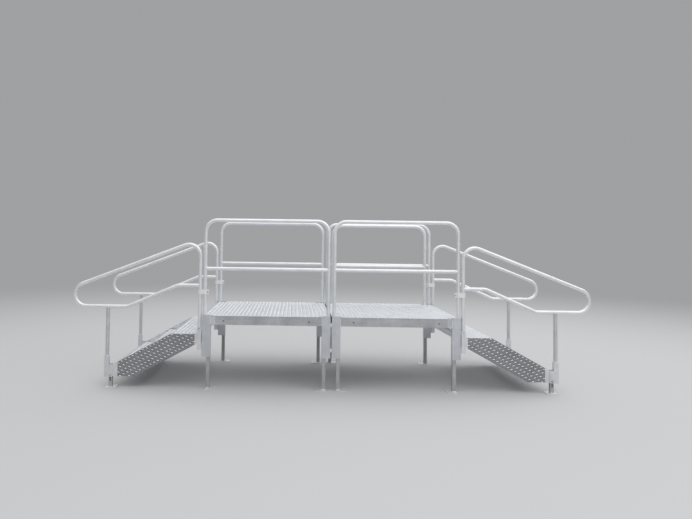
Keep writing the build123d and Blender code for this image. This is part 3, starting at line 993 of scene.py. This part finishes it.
# %% Weld the stairs
FLANGE_OUT = 0.003
FLANGE_FACE = STRINGER_FACE + FLANGE_OUT
SIDE_BEAD = 0.0024
SIDE_FOOT = 0.002
TREAD_BEAD = 0.003
TREAD_WAVE = 0.0045
TREAD_T = 0.004
upper_top = PLATE_TOP - LIP_T
lower_top = PLATE_END - LIP_T
upper_foot = STRINGER_BOTTOM + (PLATE_X1 - STRINGER_FLAT - PLATE_X0) * SLOPE
seams = (
    (PLATE_X1, FLANGE_FACE, STRINGER_BOTTOM, lower_top),
    (PLATE_X1 - FLANGE_LOW_X, STRINGER_FACE, STRINGER_BOTTOM, lower_top),
    (PLATE_X0, FLANGE_FACE, upper_foot, upper_top),
    (PLATE_X0 + FLANGE_HIGH_X, STRINGER_FACE, upper_foot - FLANGE_HIGH_X * SLOPE, upper_top),
)
beads = []
for x, y, foot, head in seams:
    for i in SIGNS:
        for j in SIGNS:
            beads.append(straight_bead((i * x, j * y, foot + SIDE_FOOT), (i * x, j * y, head), SIDE_BEAD))
hand_in(join(beads), "stair_side_welds", "weld", ROD_SMOOTH)

tread_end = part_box("right_tread_2")[1].y
beads = []
for side in SIDES:
    for number in (1, 2, 3):
        low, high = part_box(f"{side}_tread_{number}")
        for y in (-tread_end, tread_end):
            start, end = (low.x + TREAD_T, y, high.z - TREAD_T), (high.x - TREAD_T, y, high.z - TREAD_T)
            beads.append(straight_bead(start, end, TREAD_BEAD, TREAD_WAVE))
hand_in(join(beads), "tread_welds", "weld", ROD_SMOOTH)

# %% [markdown]
# ## Bolts
#
# Small dark screws hold the beams, and zinc-plated hexagon bolts hold the stair sockets, the
# clips and the telescopic stair legs. A bolt is a thin washer, a six-sided cylinder with its top
# edge bevelled, and where it goes right through, a shank below and a thread end that stands
# out of the nut.

# %% Model a bolt
WASHER_T = 0.0022
WASHER_EDGE = 0.0005
HEAD_EDGE = 0.07
BOLT_SMOOTH = 30
ROD_SHARE = 0.29
ROD_EDGE = 0.0008


def rod_of(sides, radius, bottom, top):
    """Upright cylinder between two heights."""
    clean_start()
    bpy.ops.mesh.primitive_cylinder_add(vertices=sides, radius=radius, depth=top - bottom,
                                        location=(0.0, 0.0, (bottom + top) / 2))
    return bpy.context.object


def hex_bolt(across, head, washer, shank=0.0, thread=0.0):
    """Bolt head or nut on a washer, standing on Z = 0 and pointing up."""
    ring = rod_of(sides=32, radius=washer / 2, bottom=0.0, top=WASHER_T)
    break_edges(ring, WASHER_EDGE)
    hexagon = rod_of(sides=6, radius=across / 2 / HEX_RATIO, bottom=WASHER_T, top=WASHER_T + head)
    choose(hexagon, "FACE", looks_up)
    bpy.ops.mesh.bevel(offset=across * HEAD_EDGE, segments=2)
    bpy.ops.object.mode_set(mode="OBJECT")
    parts = [ring, hexagon]
    if shank > 0.0 or thread > 0.0:
        rod = rod_of(sides=24, radius=across * ROD_SHARE, bottom=-shank, top=WASHER_T + head + thread)
        break_edges(rod, ROD_EDGE)
        parts.append(rod)
    return settle(join(parts))


def bolt_on(bolt, place, outward):
    """A copy of the bolt, standing on a face."""
    return copy_of(bolt, facing(place, outward))


FASCIA_BOLT_IN = 0.133
FASCIA_BOLT_Z = 0.690
screw = hex_bolt(across=0.010, head=0.0045, washer=0.0145)
bolts = []
for side in SIDES:
    low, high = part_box(f"{side}_deck_plate")
    for x in (low.x + HOUSING_W + FASCIA_BOLT_IN, high.x - HOUSING_W - FASCIA_BOLT_IN):
        for sign in SIGNS:
            bolts.append(bolt_on(screw, (x, sign * FASCIA_FACE, FASCIA_BOLT_Z), (0.0, sign, 0.0)))
hand_in(join(bolts), "fascia_bolts", "bolt", BOLT_SMOOTH)
bpy.data.objects.remove(screw)

# %% [markdown]
# The stair bolts are placed from the same named places as the welds. The long one passes
# through the housing and the slot of the leg, which is how the stair's height is set.

# %% Bolt the stairs
SOCKET_BOLT_Z = 0.607
LEG_BOLT_Z = 0.125
CLIP_Z = 0.981
CLIP_LUG_IN = 0.031
CLIP_LUG_HALF = 0.012
CLIP_BOLT_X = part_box("right_near_guard")[1].x - TUBE_R - CLIP_LUG_IN
socket_bolt = hex_bolt(across=0.013, head=0.0055, washer=0.018)
long_bolt = hex_bolt(across=0.017, head=0.0064, washer=0.0215, shank=HOUSING_FACE - HOUSING_BACK)
long_nut = hex_bolt(across=0.017, head=0.0080, washer=0.0215, thread=0.005)
clip_nut = hex_bolt(across=0.013, head=0.0065, washer=0.017, thread=0.004)
STAIR_BOLTS = (
    (socket_bolt, STAIR_POST_X, HOUSING_FACE, SOCKET_BOLT_Z, 1.0),
    (long_bolt, STAIR_LEG_X, HOUSING_FACE, LEG_BOLT_Z, 1.0),
    (long_nut, STAIR_LEG_X, HOUSING_BACK, LEG_BOLT_Z, -1.0),
    (socket_bolt, CLIP_BOLT_X, RAIL_Y + CLIP_LUG_HALF, CLIP_Z, 1.0),
    (clip_nut, CLIP_BOLT_X, RAIL_Y - CLIP_LUG_HALF, CLIP_Z, -1.0),
)
bolts = []
for i in SIGNS:
    for j in SIGNS:
        for bolt, x, y, z, outward in STAIR_BOLTS:
            bolts.append(bolt_on(bolt, (i * x, j * y, z), (0.0, j * outward, 0.0)))
hand_in(join(bolts), "stair_bolts", "zinc bolt", BOLT_SMOOTH)
for bolt in (socket_bolt, long_bolt, long_nut, clip_nut):
    bpy.data.objects.remove(bolt)
